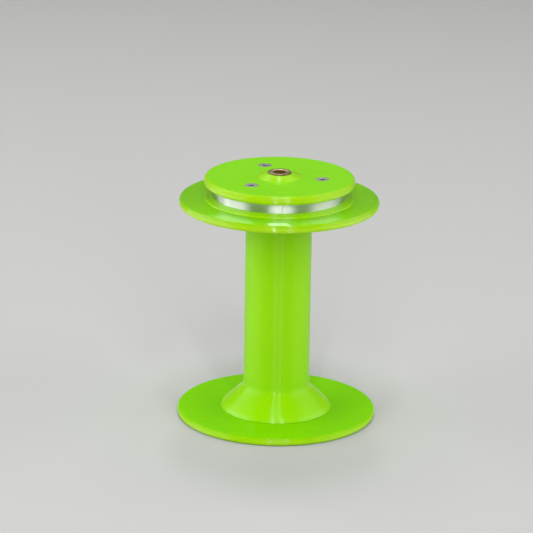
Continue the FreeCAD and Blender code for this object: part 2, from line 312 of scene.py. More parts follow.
def make_beads():
    """Beads side by side: a rounded height, a tone for each bead, and the valley between."""
    group = bpy.data.node_groups.new("printed_beads", "ShaderNodeTree")
    group_socket(group, "Across", "INPUT", "NodeSocketFloat")
    group_socket(group, "Along", "INPUT", "NodeSocketVector")
    group_socket(group, "Width", "INPUT", "NodeSocketFloat", 0.0002)
    group_socket(group, "Swell", "INPUT", "NodeSocketFloat", 0.00002)
    group_socket(group, "Unevenness", "INPUT", "NodeSocketFloat", 0.5)
    group_socket(group, "Roundness", "INPUT", "NodeSocketFloat", 0.5)
    group_socket(group, "Batches", "INPUT", "NodeSocketFloat", 1.0)
    group_socket(group, "Height", "OUTPUT", "NodeSocketFloat")
    group_socket(group, "Tone", "OUTPUT", "NodeSocketFloat")
    group_socket(group, "Valley", "OUTPUT", "NodeSocketFloat")
    ins = group.nodes.new("NodeGroupInput").outputs
    outs = group.nodes.new("NodeGroupOutput").inputs
    beads = sum_node(group, "DIVIDE", ins["Across"], ins["Width"])
    number = sum_node(group, "FLOOR", beads)
    within = sum_node(group, "FRACT", beads)
    from_middle = sum_node(group, "MULTIPLY_ADD", within, 2.0, -1.0)
    squared = sum_node(group, "MULTIPLY", from_middle, from_middle)
    steep = sum_node(group, "POWER", squared, 3.0)
    softer = sum_node(group, "SUBTRACT", squared, steep)
    fall = sum_node(group, "MULTIPLY_ADD", softer, ins["Roundness"], steep)
    crown = sum_node(group, "SUBTRACT", 1.0, fall)
    chance = group.nodes.new("ShaderNodeTexWhiteNoise")
    chance.noise_dimensions = "1D"
    group.links.new(number, chance.inputs["W"])
    drift = group.nodes.new("ShaderNodeTexNoise")
    drift.noise_dimensions = "4D"
    drift.inputs["Scale"].default_value = 160.0
    drift.inputs["Detail"].default_value = 2.0
    group.links.new(ins["Along"], drift.inputs["Vector"])
    group.links.new(sum_node(group, "MULTIPLY", number, 7.31), drift.inputs["W"])
    wobble = sum_node(group, "MULTIPLY_ADD", drift.outputs["Fac"], 1.6, -0.8)
    spread = sum_node(group, "MULTIPLY_ADD", chance.outputs["Value"], 2.0, -1.0)
    batch = group.nodes.new("ShaderNodeTexNoise")
    batch.noise_dimensions = "1D"
    batch.inputs["Scale"].default_value = 0.22
    batch.inputs["Detail"].default_value = 2.0
    group.links.new(beads, batch.inputs["W"])
    uneven = sum_node(group, "ADD", sum_node(group, "MULTIPLY", spread, 0.6), wobble)
    surge = sum_node(group, "MULTIPLY_ADD", batch.outputs["Fac"], 5.0, -2.5)
    swing = sum_node(group, "ADD", uneven, surge)
    share = sum_node(group, "MULTIPLY_ADD", swing, ins["Unevenness"], 1.0)
    crowned = sum_node(group, "MULTIPLY", crown, ins["Swell"])
    lifted = sum_node(group, "MULTIPLY", uneven, ins["Unevenness"])
    lifted = sum_node(group, "MULTIPLY", lifted, ins["Swell"])
    swelled = sum_node(group, "MULTIPLY", crowned, share)
    group.links.new(sum_node(group, "MULTIPLY_ADD", lifted, 0.12, swelled), outs["Height"])
    batches = sum_node(group, "SUBTRACT", batch.outputs["Fac"], 0.5)
    batches = sum_node(group, "MULTIPLY", batches, ins["Batches"])
    tone = sum_node(group, "ADD", sum_node(group, "MULTIPLY_ADD", uneven, 0.3, 0.5), batches)
    group.links.new(tone, outs["Tone"])
    group.links.new(sum_node(group, "POWER", squared, 4.0), outs["Valley"])
    return group


printed_beads = make_beads()


def make_specks():
    """A few tiny pale crumbs and scuffs, far apart."""
    group = bpy.data.node_groups.new("tiny_specks", "ShaderNodeTree")
    group_socket(group, "Place", "INPUT", "NodeSocketVector")
    group_socket(group, "Size", "INPUT", "NodeSocketFloat", 0.00025)
    group_socket(group, "Speck", "OUTPUT", "NodeSocketFloat")
    ins = group.nodes.new("NodeGroupInput").outputs
    outs = group.nodes.new("NodeGroupOutput").inputs
    crumbs = group.nodes.new("ShaderNodeTexVoronoi")
    crumbs.inputs["Scale"].default_value = 150.0
    group.links.new(ins["Place"], crumbs.inputs["Vector"])
    apart = sum_node(group, "DIVIDE", crumbs.outputs["Distance"], 150.0)
    pick = group.nodes.new("ShaderNodeSeparateColor")
    group.links.new(crumbs.outputs["Color"], pick.inputs[0])
    near = sum_node(group, "LESS_THAN", apart, ins["Size"])
    rare = sum_node(group, "GREATER_THAN", pick.outputs[0], 0.72)
    group.links.new(sum_node(group, "MULTIPLY", near, rare), outs["Speck"])
    return group


tiny_specks = make_specks()


def beads_node(tree, name, across, along, width, swell, unevenness, roundness, batches=1.0):
    """Adds printed beads of a width and a swell in millimetres."""
    beads = tree.nodes.new("ShaderNodeGroup")
    beads.node_tree = printed_beads
    beads.name = name
    tree.links.new(across, beads.inputs["Across"])
    tree.links.new(along, beads.inputs["Along"])
    for socket, value in (("Width", width * MM), ("Swell", swell * MM), ("Batches", batches),
                          ("Unevenness", unevenness), ("Roundness", roundness)):
        beads.inputs[socket].default_value = value
    return beads


PRESS_FADE = 1.4
CALM_FROM = -0.7
CALM_TO = 1.3
CALM_SHARE = 0.25


def lime_plastic(name, lines, flat_width, flat_swell, gloss, dullness=0.06, flat_from=0.90,
                 flat_to=0.95, first_layer=0.0, wall_swell=0.0, warmth=1.0, depth=1.0,
                 flat_shade_tint=(0.72, 1.0, 1.0), batches=1.0, wall_coat=0.0, coat_dullness=0.06,
                 pressed=None, cone_top=None, upright_sheen=0.0):
    """Printed lime-green plastic. Walls show stacked layers, flats show straight or round lines.

    Below the height pressed the wall is smooth, and up to cone_top its layers are calmer and
    glossier. An upright sheen draws the lamps out into streaks across the layers.
    """
    material, tree, skin, place = new_material(name)
    axes = tree.nodes.new("ShaderNodeSeparateXYZ")
    tree.links.new(place, axes.inputs[0])
    facing = tree.nodes.new("ShaderNodeSeparateXYZ")
    tree.links.new(tree.nodes.new("ShaderNodeNewGeometry").outputs["Normal"], facing.inputs[0])
    lean = sum_node(tree, "ABSOLUTE", facing.outputs["Z"])
    level = range_node(tree, lean, flat_from, flat_to)
    rise = sum_node(tree, "SUBTRACT", axes.outputs["Z"], first_layer * MM)
    across = reach_node(tree, axes) if lines == "round" else axes.outputs["Y"]
    wall = beads_node(tree, "wall_layers", rise, place, LAYER, wall_swell, 0.35, 1.0)
    flat = beads_node(tree, "flat_lines", across, place, flat_width, flat_swell, 0.5, 0.85, batches)

    def blended(socket):
        mix = tree.nodes.new("ShaderNodeMix")
        tree.links.new(level, mix.inputs["Factor"])
        tree.links.new(wall.outputs[socket], mix.inputs["A"])
        tree.links.new(flat.outputs[socket], mix.inputs["B"])
        return mix.outputs["Result"]

    skin.inputs["Coat Roughness"].default_value = coat_dullness
    if wall_coat > 0:
        coat = sum_node(tree, "MULTIPLY_ADD", level, -wall_coat, wall_coat)
        tree.links.new(coat, skin.inputs["Coat Weight"])
    tone, valley, height = blended("Tone"), blended("Valley"), blended("Height")
    if pressed is not None:
        above = range_node(tree, axes.outputs["Z"], (pressed - PRESS_FADE) * MM, pressed * MM)
        calm = range_node(tree, axes.outputs["Z"], (cone_top + CALM_FROM) * MM,
                          (cone_top + CALM_TO) * MM, CALM_SHARE)
        valley = sum_node(tree, "MULTIPLY", valley, above)
        height = sum_node(tree, "MULTIPLY", height, above)
        height = sum_node(tree, "MULTIPLY", height, calm)
        coat = sum_node(tree, "MULTIPLY_ADD", above, -0.2, 0.2)
        tree.links.new(coat, skin.inputs["Coat Weight"])
    relief_node(tree, skin, height)

    patches = sum_node(tree, "MULTIPLY", noise_node(tree, place, 45.0, 4.0), 0.5)
    amount = sum_node(tree, "MULTIPLY_ADD", tone, 0.5, patches)
    paint = tone_node(tree, amount, (0.298 * warmth * depth, 0.680 * depth, 0.0004),
                      (0.318 * warmth * depth, 0.722 * depth, 0.0008), 0.2, 0.8)
    # Painted shade: flat tops are tinted darker than the walls of the same plastic.
    paint = tint_node(tree, level, paint, flat_shade_tint)
    # Painted shade in the valleys between the printed beads.
    paint = tint_node(tree, sum_node(tree, "MULTIPLY", valley, 0.35), paint, (0.55, 0.68, 0.5))
    specks = tree.nodes.new("ShaderNodeGroup")
    specks.node_tree = tiny_specks
    specks.name = "specks"
    tree.links.new(place, specks.inputs["Place"])
    dust = sum_node(tree, "MULTIPLY", specks.outputs["Speck"], 0.55)
    paint = tint_node(tree, dust, paint, (0.66, 0.74, 0.50), "MIX")
    tree.links.new(paint, skin.inputs["Base Color"])

    rough = sum_node(tree, "MULTIPLY_ADD", amount, 0.06, dullness)
    if pressed is not None:
        duller = sum_node(tree, "MULTIPLY_ADD", above, -0.05, 0.05)
        rough = sum_node(tree, "ADD", rough, duller)
        glossier = sum_node(tree, "MULTIPLY_ADD", calm, 0.12, -0.12)
        rough = sum_node(tree, "ADD", rough, glossier)
    rough = sum_node(tree, "MULTIPLY_ADD", valley, 0.10, rough)
    tree.links.new(rough, skin.inputs["Roughness"])
    skin.inputs["IOR"].default_value = 1.46
    skin.inputs["Specular IOR Level"].default_value = gloss
    if upright_sheen > 0:
        round_about = tree.nodes.new("ShaderNodeTangent")
        round_about.direction_type = "RADIAL"
        round_about.axis = "Z"
        tree.links.new(round_about.outputs[0], skin.inputs["Tangent"])
        skin.inputs["Anisotropic"].default_value = upright_sheen
        skin.inputs["Anisotropic Rotation"].default_value = 0.25
    return material


lower_flange = turned_wall("lower_flange_print", (
    (BUSH_RADIUS + MOUTH_BREAK, 0.0),
    (FLANGE_RADIUS - RIM_WIDTH, 0.0),
    *stacked_layers(rounded_rim(FLANGE_RADIUS, 0.0, FLANGE_THICK, RIM_ROUNDING), 0.0, FLANGE_THICK),
    (FLANGE_RADIUS - RIM_WIDTH, FLANGE_THICK),
    (BUSH_RADIUS, FLANGE_THICK),
    (BUSH_RADIUS, MOUTH_BREAK),
))
bpy.ops.object.mode_set(mode="OBJECT")
base_bit = turned_solid("base_bit", (
    (SINK_RADIUS + OVERRUN, -OVERRUN),
    (SINK_RADIUS, 0.0),
    (SINK_RADIUS, SINK_EDGE),
    (HOLE_RADIUS, SINK_DEPTH),
    (HOLE_RADIUS, FLANGE_THICK + OVERRUN),
), 64)
drill(lower_flange, base_bit, BASE_CIRCLE)
finish_surface(lower_flange, 55.0)
lined_plastic = lime_plastic("lime_plastic_straight_lines", "straight", LINE_WIDTH, 0.016, 0.05,
                             warmth=1.18, flat_shade_tint=(0.55, 0.85, 1.0), batches=4.5, wall_coat=0.5)
lower_flange.data.materials.append(lined_plastic)
place_piece(lower_flange, "lower_flange")


# Core: the hollow shaft that the wire is wound on, printed standing up in the same plastic, so
# that fine level layers run round it. Its foot flares out to a smooth rounded edge on the flange,
# a web inside the foot holds the lower bush, and a spigot on top carries the other pieces.
FOOT_RADIUS = 24.5
SHAFT_RADIUS = 14.3
BORE_RADIUS = 11.0
FOOT_EDGE_TOP = 3.9
FOOT_TOP = 13.2
FOOT_CURVE_TOP = 5.7
FOOT_BREAK = 0.1
FOOT_TUCK = 0.12
BEND_REACH = 1.8
BEND_FILL = 0.45
SHOULDER = 94.3
SPIGOT_RADIUS = 12.8
SPIGOT_TOP = 101.6
WEB_TOP = 12.2
EDGE_BREAK = 0.3
CURVE_STEPS = 14
SLOPE_STEP = 0.25
SLOPE_STEPS = 38
THREAD_RADIUS = 1.5
INSERT_RADIUS = 2.1
INSERT_LENGTH = 4.0
TIP_ROOM = 1.5


def foot_slope(height):
    """Gives the reach of the flared foot, a cone with a soft bend where it meets the shaft."""
    share = min((height - FOOT_EDGE_TOP) / (FOOT_TOP - FOOT_EDGE_TOP), 1.0)
    slope = FOOT_RADIUS + (SHAFT_RADIUS - FOOT_RADIUS) * share
    bend = max(1.0 - abs(height - FOOT_TOP) / BEND_REACH, 0.0)
    return slope + BEND_FILL * bend ** 2


def foot_curve():
    """Gives the outline of the smooth, rounded lower edge of the foot."""
    steep = math.atan2(FOOT_RADIUS - SHAFT_RADIUS, FOOT_TOP - FOOT_EDGE_TOP)
    round_edge = (FOOT_CURVE_TOP - FOOT_EDGE_TOP) / math.cos(steep) / math.tan(steep / 2)
    middle = FOOT_CURVE_TOP - round_edge * math.sin(steep)
    outline = []
    for number in range(CURVE_STEPS + 1):
        rise = (FOOT_CURVE_TOP - FLANGE_THICK - FOOT_BREAK) * number / CURVE_STEPS
        height = FLANGE_THICK + FOOT_BREAK + rise
        bulge = math.sqrt(round_edge ** 2 - (height - middle) ** 2)
        outline.append((FOOT_RADIUS - round_edge + bulge, height))
    return outline


core = turned_wall("core_print", (
    (BUSH_RADIUS, FLANGE_THICK),
    (foot_curve()[0][0] - FOOT_TUCK, FLANGE_THICK),
    *foot_curve(),
    *((foot_slope(FOOT_CURVE_TOP + SLOPE_STEP * step), FOOT_CURVE_TOP + SLOPE_STEP * step)
      for step in range(1, SLOPE_STEPS + 1)),
    (SHAFT_RADIUS, SHOULDER),
    (SPIGOT_RADIUS, SHOULDER),
    (SPIGOT_RADIUS, SPIGOT_TOP - EDGE_BREAK),
    (SPIGOT_RADIUS - EDGE_BREAK, SPIGOT_TOP),
    (BORE_RADIUS + EDGE_BREAK, SPIGOT_TOP),
    (BORE_RADIUS, SPIGOT_TOP - EDGE_BREAK),
    (BORE_RADIUS, WEB_TOP),
    (BUSH_RADIUS + EDGE_BREAK, WEB_TOP),
    (BUSH_RADIUS, WEB_TOP - EDGE_BREAK),
))
bpy.ops.object.mode_set(mode="OBJECT")
insert_top = FLANGE_THICK + INSERT_LENGTH
foot_bit = turned_solid("foot_bit", (
    (INSERT_RADIUS, FLANGE_THICK - 0.5),
    (INSERT_RADIUS, insert_top),
    (THREAD_RADIUS, insert_top),
    (THREAD_RADIUS, insert_top + TIP_ROOM),
), 64)
drill(core, foot_bit, BASE_CIRCLE)
finish_surface(core, 55.0)
layered_plastic = lime_plastic("lime_plastic_layers", "round", LINE_WIDTH, 0.02, 0.22, 0.27,
                               first_layer=FLANGE_THICK, wall_swell=0.010, warmth=0.98,
                               depth=0.97, coat_dullness=0.24, pressed=FOOT_CURVE_TOP,
                               cone_top=FOOT_TOP, upright_sheen=1.0)
core.data.materials.append(layered_plastic)
place_piece(core, "core")


# Upper flange: a second printed disc like the lower one, with a hole that drops over the spigot
# on to the core's shoulder. The lines of its last layer run round in rings.
SOCKET_RADIUS = 12.85
UPPER_FLANGE_TOP = 97.6
RINGS_FROM = 31.9
RINGS_INSET = 1.2


def ring_lines(outer, inner, top):
    """Gives the outline of the round beads on a flat top, from the outermost bead inwards."""
    outline = []
    count = round((outer - inner) / LINE_WIDTH)
    width = (outer - inner) / count
    for number in range(count):
        start = outer - number * width
        for share, drop in ((0.0, 0.060), (0.16, 0.027), (0.5, 0.0), (0.84, 0.027)):
            outline.append((start - width * share, top - drop))
    return outline


upper_flange = turned_wall("upper_flange_print", (
    (SOCKET_RADIUS, SHOULDER),
    (FLANGE_RADIUS - RIM_WIDTH, SHOULDER),
    *stacked_layers(rounded_rim(FLANGE_RADIUS, SHOULDER, UPPER_FLANGE_TOP, RIM_ROUNDING),
                    SHOULDER, UPPER_FLANGE_TOP),
    *ring_lines(FLANGE_RADIUS - RINGS_INSET, RINGS_FROM, UPPER_FLANGE_TOP),
    (RINGS_FROM, UPPER_FLANGE_TOP),
    (SOCKET_RADIUS, UPPER_FLANGE_TOP),
))
finish_surface(upper_flange, 48.0)
ringed_plastic = lime_plastic("lime_plastic_ring_lines", "round", LINE_WIDTH, 0.0, 0.5, 0.04,
                              first_layer=SHOULDER, warmth=1.28, flat_shade_tint=(0.445, 0.75, 1.0),
                              wall_coat=0.1)
upper_flange.data.materials.append(ringed_plastic)
place_piece(upper_flange, "upper_flange")


# Groove hub: the printed ring that makes the floor and the sloping lower lip of the belt groove.
# It is glued over the spigot and holds three brass inserts for the screws of the cap.
PULLEY_RADIUS = 32.3
GROOVE_FLOOR = 28.0
GROOVE_BOTTOM = 99.0
GROOVE_TOP = 103.3
BAND_RADIUS = 28.85
LIP_EDGE = 0.4
REGISTER_HOLE = 9.1
UPPER_INSERT_BOTTOM = 99.3
CAP_CIRCLE = 18.6


def lip_slope(height):
    """Gives the reach of the lip that slopes up to the groove's floor."""
    share = (height - UPPER_FLANGE_TOP - LIP_EDGE) / (GROOVE_BOTTOM - UPPER_FLANGE_TOP - LIP_EDGE)
    return PULLEY_RADIUS - (PULLEY_RADIUS - BAND_RADIUS) * max(share, 0.0)


groove_hub = turned_wall("groove_hub_print", (
    (SOCKET_RADIUS, UPPER_FLANGE_TOP),
    (PULLEY_RADIUS - EDGE_BREAK, UPPER_FLANGE_TOP),
    *stacked_layers(lip_slope, UPPER_FLANGE_TOP, GROOVE_BOTTOM)[1:-1],
    (BAND_RADIUS, GROOVE_BOTTOM),
    (GROOVE_FLOOR, GROOVE_BOTTOM),
    (GROOVE_FLOOR, GROOVE_TOP),
    (REGISTER_HOLE, GROOVE_TOP),
    (REGISTER_HOLE, SPIGOT_TOP),
    (SOCKET_RADIUS, SPIGOT_TOP),
))
bpy.ops.object.mode_set(mode="OBJECT")
hub_bit = turned_solid("hub_bit", (
    (THREAD_RADIUS, UPPER_INSERT_BOTTOM - TIP_ROOM),
    (THREAD_RADIUS, UPPER_INSERT_BOTTOM),
    (INSERT_RADIUS, UPPER_INSERT_BOTTOM),
    (INSERT_RADIUS, GROOVE_TOP + 0.5),
), 64)
drill(groove_hub, hub_bit, CAP_CIRCLE)
finish_surface(groove_hub, 55.0)
lip_plastic = lime_plastic("lime_plastic_lip", "round", LINE_WIDTH, 0.02, 0.5,
                           first_layer=UPPER_FLANGE_TOP, warmth=1.2, flat_shade_tint=(0.88, 1.0, 1.0),
                           wall_coat=0.25)
groove_hub.data.materials.append(lip_plastic)
place_piece(groove_hub, "groove_hub")


# Groove band: a strip of brushed aluminium bent round the floor of the groove, where the belt
# runs. Its two ends meet in a narrow upright gap at the front.
BAND_TOP = 103.2
BAND_GAP = 0.16
BAND_GAP_ANGLE = -87.7
STRIP_ROUNDING = 0.12
END_ROUNDING = 0.16


def lines_node(tree, place, scale):
    """Gives noise drawn out into long fine lines."""
    stretch = tree.nodes.new("ShaderNodeMapping")
    stretch.inputs["Scale"].default_value = scale
    tree.links.new(place, stretch.inputs["Vector"])
    return noise_node(tree, stretch.outputs[0], 1.0, 3.0)


def brushed_aluminium():
    """Bare aluminium with fine brush lines that run along the strip."""
    material, tree, metal, place = new_material("brushed_aluminium")
    lines = lines_node(tree, place, (60.0, 60.0, 14000.0))
    relief_node(tree, metal, sum_node(tree, "MULTIPLY", lines, 0.03 * MM))
    metal.inputs["Base Color"].default_value = (0.72, 0.715, 0.75, 1)
    metal.inputs["Metallic"].default_value = 1.0
    metal.inputs["Anisotropic"].default_value = 1.0
    metal.inputs["Anisotropic Rotation"].default_value = 0.25
    rough = sum_node(tree, "MULTIPLY_ADD", lines, 0.2, 0.22)
    tree.links.new(rough, metal.inputs["Roughness"])
    return material


bpy.ops.object.select_all(action="DESELECT")
strip_middle = ((GROOVE_FLOOR + BAND_RADIUS) / 2 * MM, 0, (GROOVE_BOTTOM + BAND_TOP) / 2 * MM)
bpy.ops.mesh.primitive_plane_add(size=1, location=strip_middle, rotation=(math.radians(90), 0, 0))
groove_band = bpy.context.object
groove_band.name = "groove_band_strip"
groove_band.data.name = "groove_band_strip"
groove_band.scale = ((BAND_RADIUS - GROOVE_FLOOR) * MM, (BAND_TOP - GROOVE_BOTTOM) * MM, 1)
bpy.ops.object.transform_apply(location=True, rotation=True, scale=True)
bpy.ops.object.mode_set(mode="EDIT")
bpy.ops.mesh.select_mode(type="VERT")
bpy.ops.mesh.select_all(action="SELECT")
bpy.ops.mesh.bevel(offset=STRIP_ROUNDING * MM, segments=3, affect="VERTICES")
bpy.ops.mesh.select_all(action="SELECT")
band_sweep = 2 * math.pi - BAND_GAP / BAND_RADIUS
bpy.ops.mesh.spin(steps=216, angle=band_sweep, center=(0, 0, 0), axis=(0, 0, 1))
bpy.ops.mesh.select_all(action="SELECT")
bpy.ops.mesh.normals_make_consistent(inside=False)
bpy.ops.object.mode_set(mode="OBJECT")
set_down(groove_band, (0, 0, 0), BAND_GAP_ANGLE + math.degrees(BAND_GAP / BAND_RADIUS) / 2)
bpy.ops.object.mode_set(mode="EDIT")
bpy.ops.mesh.select_mode(type="EDGE")
bpy.ops.mesh.select_all(action="DESELECT")
mesh = bmesh.from_edit_mesh(groove_band.data)
for edge in mesh.edges:
    near, far = edge.verts
    upright = abs(near.co.z - far.co.z) > 2 * MM
    outside = min(near.co.xy.length, far.co.xy.length) > (BAND_RADIUS - 0.01) * MM
    turn = math.degrees(math.atan2(near.co.y, near.co.x)) - BAND_GAP_ANGLE
    if upright and outside and abs(turn) < 0.4:
        edge.select_set(True)
bmesh.update_edit_mesh(groove_band.data)
bpy.ops.mesh.bevel(offset=END_ROUNDING * MM, offset_type="OFFSET", segments=3, profile=0.5,
                   affect="EDGES", clamp_overlap=True)
finish_surface(groove_band)
groove_band.data.materials.append(brushed_aluminium())
place_piece(groove_band, "groove_band")


# Cap: the printed disc that closes the groove. A low cone on top stands round the bush, a
# register below centres the cap in the hub, and three countersunk screws hold it down.
CAP_TOP = 107.1
BOSS_TOP = 108.7
BOSS_BASE_RADIUS = 9.7
BOSS_TOP_RADIUS = 5.9
BOSS_FOOT_RING = 10.2
BOSS_TOP_RING = 5.7
REGISTER_RADIUS = 9.0
REGISTER_BOTTOM = 98.3
REGISTER_BREAK = 0.4


def boss_slope(height):
    """Gives the reach of the low cone round the bush."""
    narrowing = BOSS_TOP_RADIUS - BOSS_BASE_RADIUS
    return BOSS_BASE_RADIUS + narrowing * (height - CAP_TOP) / (BOSS_TOP - CAP_TOP)


cap = turned_wall("cap_print", (
    (BUSH_RADIUS, REGISTER_BOTTOM),
    (REGISTER_RADIUS - REGISTER_BREAK, REGISTER_BOTTOM),
    (REGISTER_RADIUS, REGISTER_BOTTOM + REGISTER_BREAK),
    (REGISTER_RADIUS, GROOVE_TOP),
    (PULLEY_RADIUS - RIM_WIDTH, GROOVE_TOP),
    *stacked_layers(rounded_rim(PULLEY_RADIUS, GROOVE_TOP, CAP_TOP, RIM_ROUNDING),
                    GROOVE_TOP, CAP_TOP),
    (PULLEY_RADIUS - RIM_WIDTH, CAP_TOP),
    (BOSS_FOOT_RING, CAP_TOP),
    *stacked_layers(boss_slope, CAP_TOP, BOSS_TOP),
    (BOSS_TOP_RING, BOSS_TOP),
    (BUSH_RADIUS, BOSS_TOP),
))
bpy.ops.object.mode_set(mode="OBJECT")
cap_bit = turned_solid("cap_bit", (
    (HOLE_RADIUS, GROOVE_TOP - 0.5),
    (HOLE_RADIUS, CAP_TOP - SINK_DEPTH),
    (SINK_RADIUS, CAP_TOP - SINK_EDGE),
    (SINK_RADIUS, CAP_TOP),
    (SINK_RADIUS + OVERRUN, CAP_TOP + OVERRUN),
), 64)
drill(cap, cap_bit, CAP_CIRCLE)
finish_surface(cap, 55.0)
smooth_plastic = lime_plastic("lime_plastic_smooth_top", "straight", 0.4, 0.003, 0.35, 0.10,
                              0.96, 0.985, first_layer=GROOVE_TOP, warmth=1.30,
                              flat_shade_tint=(0.56, 0.94, 1.0), wall_coat=0.25)
cap.data.materials.append(smooth_plastic)
place_piece(cap, "cap")


# Bushes: two sintered bronze bearings, 6 by 10 by 12 mm with broken edges, pressed into the cap
# and into the lower flange. They run on the spindle, and the pores of the bronze hold oil.
BUSH_BORE = 3.0
BUSH_LENGTH = 12.0
BUSH_ROUNDING = 0.35
UPPER_BUSH_BOTTOM = 97.3
LOWER_BUSH_BOTTOM = 0.2


def pick_rings(piece, rings, near=0.002):
    """Selects the rings of edges that lie at the given radii and heights in millimetres."""
    bpy.ops.mesh.select_mode(type="EDGE")
    bpy.ops.mesh.select_all(action="DESELECT")
    mesh = bmesh.from_edit_mesh(piece.data)
    for edge in mesh.edges:
        spots = [(math.hypot(v.co.x, v.co.y) / MM, v.co.z / MM) for v in edge.verts]
        for radius, height in rings:
            if all(abs(r - radius) < near and abs(z - height) < near for r, z in spots):
                edge.select_set(True)
    bmesh.update_edit_mesh(piece.data)


def round_rings(piece, rings, size, steps):
    """Rounds the picked rings of edges over by a size in millimetres."""
    pick_rings(piece, rings)
    bpy.ops.mesh.bevel(offset=size * MM, offset_type="OFFSET", segments=steps, profile=0.5,
                       affect="EDGES", clamp_overlap=True)


def sintered_bronze():
    """Fine-grained bronze, tinted darker over its bore wall, with painted shade round its outer
    edge where it meets the plastic.
    """
    material, tree, metal, place = new_material("sintered_bronze")
    grain = tree.nodes.new("ShaderNodeTexVoronoi")
    grain.inputs["Scale"].default_value = 5200.0
    tree.links.new(place, grain.inputs["Vector"])
    cloud = noise_node(tree, place, 700.0, 5.0)
    axes = tree.nodes.new("ShaderNodeSeparateXYZ")
    tree.links.new(place, axes.inputs[0])
    reach = reach_node(tree, axes)
    oil = range_node(tree, reach, (BUSH_BORE + 0.12) * MM, (BUSH_BORE + 0.02) * MM)
    edge = range_node(tree, reach, (BUSH_RADIUS - 0.40) * MM, (BUSH_RADIUS - 0.15) * MM)
    worn = range_node(tree, reach, (BUSH_BORE + 0.30) * MM, (BUSH_BORE + 0.55) * MM, 0.42, 0.25)
    paint = tone_node(tree, cloud, (0.48, 0.37, 0.20), (0.76, 0.64, 0.39))
    # Darker tint over the bore wall.
    paint = tint_node(tree, oil, paint, (0.42, 0.34, 0.23))
    # Painted shade: a dark ring round the outer edge, where the bush meets the plastic.
    paint = tint_node(tree, edge, paint, (0.32, 0.24, 0.20))
    tree.links.new(paint, metal.inputs["Base Color"])
    metal.inputs["Metallic"].default_value = 1.0
    rough = sum_node(tree, "MULTIPLY_ADD", cloud, 0.2, worn)
    tree.links.new(rough, metal.inputs["Roughness"])
    pores = sum_node(tree, "MULTIPLY", grain.outputs["Distance"], 0.02 * MM)
    relief_node(tree, metal, pores, 0.1)
    return material


bronze = sintered_bronze()
bush_corners = ((BUSH_BORE, 0.0), (BUSH_RADIUS, 0.0),
                (BUSH_RADIUS, BUSH_LENGTH), (BUSH_BORE, BUSH_LENGTH))
upper_bushing = turned_wall("upper_bushing_bronze", bush_corners, 96)
round_rings(upper_bushing, bush_corners, BUSH_ROUNDING, 3)
finish_surface(upper_bushing)
upper_bushing.data.materials.append(bronze)
lower_bushing = copy_of(upper_bushing, "lower_bushing_bronze")
set_down(upper_bushing, (0, 0, UPPER_BUSH_BOTTOM))
set_down(lower_bushing, (0, 0, LOWER_BUSH_BOTTOM))
place_piece(upper_bushing, "upper_bushing")
place_piece(lower_bushing, "lower_bushing")


# Screws: six M3 countersunk screws of zinc-plated steel with a 2 mm hex socket. Three hold the
# cap to the hub from above and three hold the lower flange to the core's foot from below.
HEAD_RADIUS = 2.85
HEAD_EDGE = 0.2
SHANK_RADIUS = 1.48
THREAD_ROOT = 1.21
THREAD_HEIGHT = THREAD_RADIUS - THREAD_ROOT
SCREW_LENGTH = 8.0
TIP_RADIUS = 0.95
TIP_BEVEL = 0.65
HEX_CORNER = 1.1547
HEX_DEPTH = 1.2


def plated_steel(name, dark, light):
    """Zinc-plated steel, cloudy and a little worn; a darker copy in the socket is painted shade for
    the recess.
    """
    material, tree, metal, place = new_material(name)
    cloud = noise_node(tree, place, 900.0, 5.0)
    tree.links.new(tone_node(tree, cloud, dark, light), metal.inputs["Base Color"])
    metal.inputs["Metallic"].default_value = 1.0
    rough = sum_node(tree, "MULTIPLY_ADD", cloud, 0.35, 0.22)
    tree.links.new(rough, metal.inputs["Roughness"])
    relief_node(tree, metal, sum_node(tree, "MULTIPLY", cloud, 0.006 * MM))
    return material


thread = first_point("thread", THREAD_ROOT, 0.0)
for outward, upward in ((0.0, 0.05), (THREAD_HEIGHT, 0.17), (0.0, 0.06), (-THREAD_HEIGHT, 0.17),
                        (0.0, 0.05)):
    draw_on(outward, upward)
bpy.ops.mesh.select_all(action="SELECT")
bpy.ops.mesh.screw(steps=28, turns=18, center=(0, 0, 0), axis=(0, 0, -1))
bpy.ops.mesh.select_all(action="SELECT")
bpy.ops.mesh.remove_doubles(threshold=0.002 * MM)
for height, outer in ((-1.15, True), (-SCREW_LENGTH, False)):
    bpy.ops.mesh.select_all(action="SELECT")
    bpy.ops.mesh.bisect(plane_co=(0, 0, height * MM), plane_no=(0, 0, 1), use_fill=True,
                        clear_outer=outer, clear_inner=not outer, threshold=0.0005 * MM)
bpy.ops.mesh.select_all(action="SELECT")
bpy.ops.mesh.normals_make_consistent(inside=False)
bpy.ops.object.mode_set(mode="OBJECT")

screw = turned_solid("screw", (
    (SHANK_RADIUS, -1.9), (SHANK_RADIUS, -1.55), (HEAD_RADIUS, -HEAD_EDGE), (HEAD_RADIUS, 0.0),
), 64)
round_rings(screw, ((HEAD_RADIUS, 0.0), (HEAD_RADIUS, -HEAD_EDGE)), 0.06, 2)
join_shapes(screw, thread, "UNION")
tip = turned_solid("tip", (
    (TIP_RADIUS, -SCREW_LENGTH),
    (TIP_RADIUS + TIP_BEVEL, -SCREW_LENGTH + TIP_BEVEL),
    (3.2, -SCREW_LENGTH + TIP_BEVEL),
    (3.2, 0.4),
), 64)
join_shapes(screw, tip, "INTERSECT")
socket = turned_solid("socket", (
    (0.25, -HEX_DEPTH - 0.25), (HEX_CORNER, -HEX_DEPTH), (HEX_CORNER, 0.5),
), 6)
join_shapes(screw, socket, "DIFFERENCE")
mouth = turned_solid("mouth", ((0.95, -0.2), (1.28, 0.13)), 48)
join_shapes(screw, mouth, "DIFFERENCE")
finish_surface(screw, 30.0)
screw.data.materials.clear()
